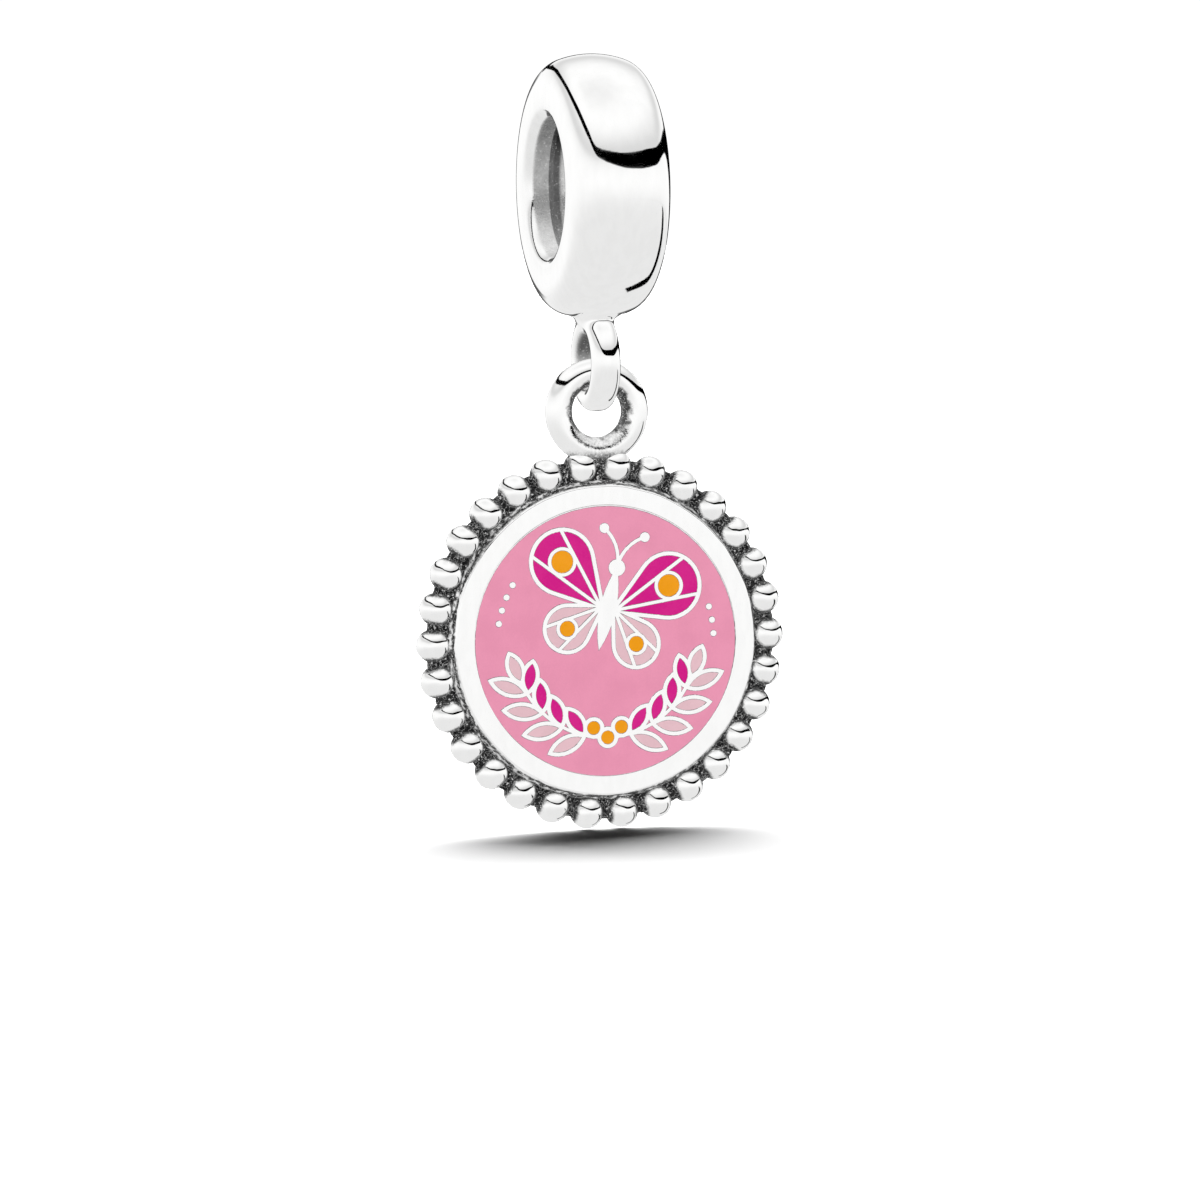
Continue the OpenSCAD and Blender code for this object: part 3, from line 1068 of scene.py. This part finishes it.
@dataclass
class BeadRim:
    """A node tree that repeats a bead round the medallion's edge. Millimetres."""

    count: int
    ring_r: float
    centre_z: float
    sway: float = 0.03
    sway_pitch: float = 1.3
    dent: float = 0.03
    dent_pitch: float = 0.3
    seed: float = 4.0

    def tree(self) -> bpy.types.NodeTree:
        """Builds the tree, with the sizes as named inputs.

        Returns:
            The tree.
        """
        tree = bpy.data.node_groups.new("bead_rim", "GeometryNodeTree")
        sockets = {"Bead": "Geometry", "Ring Radius": "Float", "Centre Z": "Float", "Sway": "Float",
                   "Dent": "Float", "Seed": "Float", "Count": "Int", "Silver": "Material"}
        for name, kind in sockets.items():
            tree.interface.new_socket(name, in_out="INPUT", socket_type="NodeSocket" + kind)
        tree.interface.new_socket("Rim", in_out="OUTPUT", socket_type="NodeSocketGeometry")
        graph = Graph(tree)
        given = graph.add("NodeGroupInput").outputs
        lift = graph.add("ShaderNodeCombineXYZ", {"Z": given["Ring Radius"]}).outputs[0]
        moved = graph.add("GeometryNodeTransform", {"Geometry": given["Bead"], "Translation": lift})
        hub = graph.add("ShaderNodeCombineXYZ", {"Z": given["Centre Z"]}).outputs[0]
        points = graph.add("GeometryNodePoints", {"Count": given["Count"], "Position": hub})
        step = graph.math("DIVIDE", 2 * math.pi, given["Count"])
        place = graph.math("ADD", graph.add("GeometryNodeInputIndex").outputs[0], 0.5)
        turn = graph.add("ShaderNodeCombineXYZ", {"Y": graph.math("MULTIPLY", place, step)}).outputs[0]
        copies = graph.add("GeometryNodeInstanceOnPoints", {
            "Points": points.outputs[0], "Instance": moved.outputs[0], "Rotation": turn})
        real = graph.add("GeometryNodeRealizeInstances", {"Geometry": copies.outputs[0]}).outputs[0]
        for name, pitch in (("Sway", self.sway_pitch), ("Dent", self.dent_pitch)):
            inputs = {"Scale": 1 / (pitch * MM), "Detail": 0.0, "W": given["Seed"]}
            cloud = graph.add("ShaderNodeTexNoise", inputs, noise_dimensions="4D").outputs["Color"]
            inputs = {0: cloud, 1: (0.5, 0.5, 0.5)}
            even = graph.add("ShaderNodeVectorMath", inputs, operation="SUBTRACT").outputs[0]
            shift = graph.add("ShaderNodeVectorMath", {0: even, "Scale": given[name]}, operation="SCALE")
            inputs = {"Geometry": real, "Offset": shift.outputs[0]}
            real = graph.add("GeometryNodeSetPosition", inputs).outputs[0]
        dressed = graph.add("GeometryNodeSetMaterial", {"Geometry": real, "Material": given["Silver"]})
        graph.add("NodeGroupOutput", {0: dressed.outputs[0]})
        return tree

    def apply(self, blank: Piece) -> Piece:
        """Runs the tree on one bead and keeps the result as a plain mesh.

        Args:
            blank: the bead about the origin.

        Returns:
            The same object, now the whole rim.
        """
        modifier = blank.modifiers.new("rim", "NODES")
        modifier.node_group = self.tree()
        values = {"Ring Radius": self.ring_r * MM, "Centre Z": self.centre_z * MM, "Sway": self.sway * MM,
                  "Dent": self.dent * MM, "Seed": self.seed, "Count": self.count,
                  "Silver": CAST_SILVER.material()}
        for item in modifier.node_group.interface.items_tree:
            if item.name in values and item.in_out == "INPUT":
                modifier[item.identifier] = values[item.name]
        bpy.context.view_layer.update()
        rim = applied(blank)
        rim.data.shade_smooth()
        return rim


@dataclass
class EnamelPicture:
    """The enamel fills, which keep their own shapes and take a detailed finish."""

    finishes: dict[str, Enamel] = field(default_factory=lambda: dict(FILLS))

    def build(self) -> list[Piece]:
        """Dresses each fill.

        Returns:
            The fills.
        """
        for name, finish in self.finishes.items():
            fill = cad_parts[name]
            dress(fill, finish)
            fill.visible_glossy = fill.visible_diffuse = False
        return [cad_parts[name] for name in self.finishes]


class BandRow(NamedTuple):
    """Where a dark strip of the tent starts and ends at one azimuth. Degrees."""

    azimuth: float
    low: float
    high: float


class ToneRow(NamedTuple):
    """How bright the tent is at one elevation in degrees."""

    elevation: float
    tone: float


@dataclass
class Tent:
    """What the polished metal mirrors: a white tent with a dark band, a side card and a low strip."""

    strength: float = 1.05
    soft: float = 0.35
    flag_shade: float = 0.9
    flag_soft: float = 3.0
    band: tuple[BandRow, ...] = tuple(BandRow(*row) for row in (
        (-180, 12, 18), (-164, 25, 31), (-132, 35, 42), (-89, 44, 52), (-48, 36, 44), (-30, 29, 36),
        (-14, 21.5, 31), (2, 17, 29), (16, 14, 27), (37, 12.5, 27), (55, 14, 27), (80, 15, 23),
        (96, 13, 20), (107, 11, 18), (118, 6, 15), (128, -1, 11), (139, -8, 8), (150, -4, 8),
        (161, 4, 10), (180, 12, 18)))
    strip: tuple[BandRow, ...] = tuple(BandRow(*row) for row in (
        (76, -10, -12), (84, -17.5, -10.5), (97, -31, -17), (110, -50, -25), (118, -66, -40),
        (124, -63, -53), (130, -57, -60), (140, -57, -60)))
    flag: tuple[BandRow, ...] = tuple(BandRow(*row) for row in (
        (-180, -9, 9), (-175, -9, 8), (-171, -9, -13), (-160, -9, -13), (140, -9, -13),
        (150, -17, 0), (158, -23, 6), (166, -23, 9), (174, -10, 9)))
    tones: tuple[ToneRow, ...] = tuple(ToneRow(*row) for row in (
        (-90, 0.80), (-28, 0.80), (-14, 0.84), (-2, 0.99), (8, 1.0), (20, 0.92), (27, 0.62),
        (38, 0.82), (50, 1.0), (66, 1.0), (80, 0.90), (90, 0.88)))

    def dark(self, graph: Graph, turn: Socket, height: Socket, rows: Sequence[BandRow],
             soft: float) -> Socket:
        """How far a direction is inside a dark strip, from 0 to 1.

        Args:
            graph: the world's tree.
            turn: the direction's azimuth, as a share of a whole turn from straight back.
            height: its elevation in degrees.
            rows: the strip's edges, in order of azimuth.
            soft: half the width of its soft edges, in degrees.

        Returns:
            The share.
        """
        stops = [((r.azimuth + 180) / 360, ((r.low + 90) / 180, (r.high + 90) / 180, 0)) for r in rows]
        edges = graph.add("ShaderNodeSeparateColor", {0: graph.table(turn, stops)}).outputs
        low, high = (graph.math("MULTIPLY", edges[n], 180.0) for n in (0, 1))
        over = graph.math("SUBTRACT", height, graph.math("SUBTRACT", low, 90.0))
        under = graph.math("SUBTRACT", graph.math("SUBTRACT", high, 90.0), height)
        return graph.math("MULTIPLY", graph.spread(over, (-soft, soft)), graph.spread(under, (-soft, soft)))

    def level(self, graph: Graph) -> Socket:
        """Builds the tent's brightness in each direction.

        Args:
            graph: the world's tree.

        Returns:
            The brightness.
        """
        direction = graph.add("ShaderNodeTexCoord").outputs["Generated"]
        parts = graph.add("ShaderNodeSeparateXYZ", {0: direction}).outputs
        rise = graph.math("ARCSINE", parts["Z"])
        height = graph.math("MULTIPLY", rise, 180 / math.pi)
        round_angle = graph.math("ARCTAN2", parts["X"], graph.math("MULTIPLY", parts["Y"], -1.0))
        turn = graph.math("ADD", graph.math("MULTIPLY", round_angle, 0.5 / math.pi), 0.5)
        share = graph.math("ADD", graph.math("MULTIPLY", rise, 1 / math.pi), 0.5)
        stops = [((r.elevation + 90) / 180, (r.tone, r.tone, r.tone)) for r in self.tones]
        tone = graph.math("MULTIPLY", graph.table(share, stops), self.strength)
        for rows, shade, soft in ((self.band, 1.0, self.soft), (self.strip, 1.0, self.soft),
                                  (self.flag, self.flag_shade, self.flag_soft)):
            dim = graph.math("MULTIPLY", self.dark(graph, turn, height, rows, soft), shade)
            tone = graph.math("MULTIPLY", tone, graph.math("SUBTRACT", 1.0, dim))
        return tone


class Lamp(NamedTuple):
    """A large far lamp: its direction, how wide it looks from the charm, and its light. Degrees."""

    name: str
    azimuth: float
    elevation: float
    spread: float
    strength: float


@dataclass
class Studio:
    """The light tent, the soft lights, the floor and the camera. Degrees and metres."""

    azimuth: float = -16.0
    elevation: float = 3.72
    roll: float = 1.09
    distance: float = 0.2
    clip: Pair = (0.01, 5.0)
    frame_width: float = 0.038129
    aim: Triple = (0.0, 0.0, -0.013117)
    sensor: float = 36.0
    floor_gap: float = 0.00005
    floor_half: float = 2.0
    fill: float = 0.02
    backdrop: float = 1.05
    back_lamp: Lamp = Lamp("back_light", 164.0, 38, 80, 9.0)
    front_lamp: Lamp = Lamp("front_light", -16.0, 6, 60, 4.95)
    tent: Tent = field(default_factory=Tent)

    def back(self, azimuth: float, elevation: float) -> Vector:
        """The direction from the object towards a camera or lamp."""
        a, e = math.radians(azimuth), math.radians(elevation)
        return Vector((math.sin(a) * math.cos(e), -math.cos(a) * math.cos(e), math.sin(e)))

    def camera(self) -> Piece:
        """Makes the camera at the photograph's angle.

        Returns:
            The camera.
        """
        data = bpy.data.cameras.new("camera")
        data.sensor_width = self.sensor
        data.lens = self.sensor * self.distance / self.frame_width
        data.clip_start, data.clip_end = self.clip
        camera = bpy.data.objects.new("camera", data)
        bpy.context.scene.collection.objects.link(camera)
        back = self.back(self.azimuth, self.elevation)
        roll = Matrix.Rotation(math.radians(-self.roll), 3, "Z")
        turn = ((-back).to_track_quat("-Z", "Y").to_matrix() @ roll).to_quaternion()
        camera.matrix_world = Matrix.LocRotScale(Vector(self.aim) + back * self.distance, turn, None)
        bpy.context.scene.camera = camera
        return camera

    def floor(self) -> Piece:
        """Makes the plain pale floor, just under the lowest bead.

        Returns:
            The floor.
        """
        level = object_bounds()[0].z - self.floor_gap
        bm = bmesh.new()
        bmesh.ops.create_grid(bm, x_segments=2, y_segments=2, size=self.floor_half / MM)
        bmesh.ops.translate(bm, vec=(0, 0, level / MM), verts=bm.verts)
        floor = to_object("floor", bm)
        dress(floor, FLOOR_PAPER)
        floor.visible_glossy = floor.visible_diffuse = False
        floor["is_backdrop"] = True
        return floor

    def lamp(self, lamp: Lamp, lit: Sequence[Piece] = ()) -> Piece:
        """Makes a lamp with soft shadows.

        Args:
            lamp: where it stands and how bright it is.
            lit: the only pieces that it lights, or none for all.

        Returns:
            The lamp.
        """
        data = bpy.data.lights.new(lamp.name, "SUN")
        data.angle, data.energy = math.radians(lamp.spread), lamp.strength
        made = bpy.data.objects.new(lamp.name, data)
        bpy.context.scene.collection.objects.link(made)
        back = self.back(lamp.azimuth, lamp.elevation)
        made.matrix_world = Matrix.LocRotScale(back * self.distance, (-back).to_track_quat("-Z", "Y"), None)
        made.visible_glossy = False
        if lit:
            receivers = bpy.data.collections.new(lamp.name + "_receivers")
            for piece in lit:
                receivers.objects.link(piece)
            made.light_linking.receiver_collection = receivers
        return made

    def world(self) -> None:
        """Lights the scene: gloss rays see the tent, camera rays a plain white, and others a dim fill."""
        world = bpy.data.worlds.new("light_tent")
        bpy.context.scene.world = world
        world.use_nodes = True
        graph = Graph(world.node_tree)
        ray = graph.add("ShaderNodeLightPath").outputs
        straight = graph.math("LESS_THAN", ray["Diffuse Depth"], 0.5)
        gloss = graph.math("MULTIPLY", ray["Is Glossy Ray"], straight)
        mirrored = graph.math("MULTIPLY", gloss, self.tent.level(graph))
        seen = graph.math("MULTIPLY", ray["Is Camera Ray"], self.backdrop)
        other = graph.math("SUBTRACT", 1.0, graph.math("MAXIMUM", gloss, ray["Is Camera Ray"]))
        filled = graph.math("MULTIPLY", other, self.fill)
        total = graph.math("ADD", graph.math("ADD", mirrored, seen), filled)
        glow = graph.add("ShaderNodeBackground", {"Color": (1, 1, 1, 1), "Strength": total})
        graph.add("ShaderNodeOutputWorld", {"Surface": glow.outputs[0]})

    def build(self) -> None:
        """Makes the camera, floor, lamps and tent."""
        self.camera()
        self.floor()
        self.lamp(self.back_lamp)
        self.lamp(self.front_lamp, [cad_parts[name] for name in FILLS])
        self.world()
        bpy.context.scene.view_settings.view_transform = "Standard"


def main() -> None:
    """Builds and reports the charm's pieces, then builds the studio."""
    logging.basicConfig(level=logging.INFO, format="%(name)s: %(message)s")
    for assembly in (BailRing(), Medallion(), EnamelPicture()):
        for piece in assembly.build():
            size = "x".join(f"{d / MM:.2f}" for d in piece.dimensions)
            LOG.info("%s: %d faces, %s mm", piece.name, len(piece.data.polygons), size)
    Studio().build()


if __name__ == "__main__":
    main()
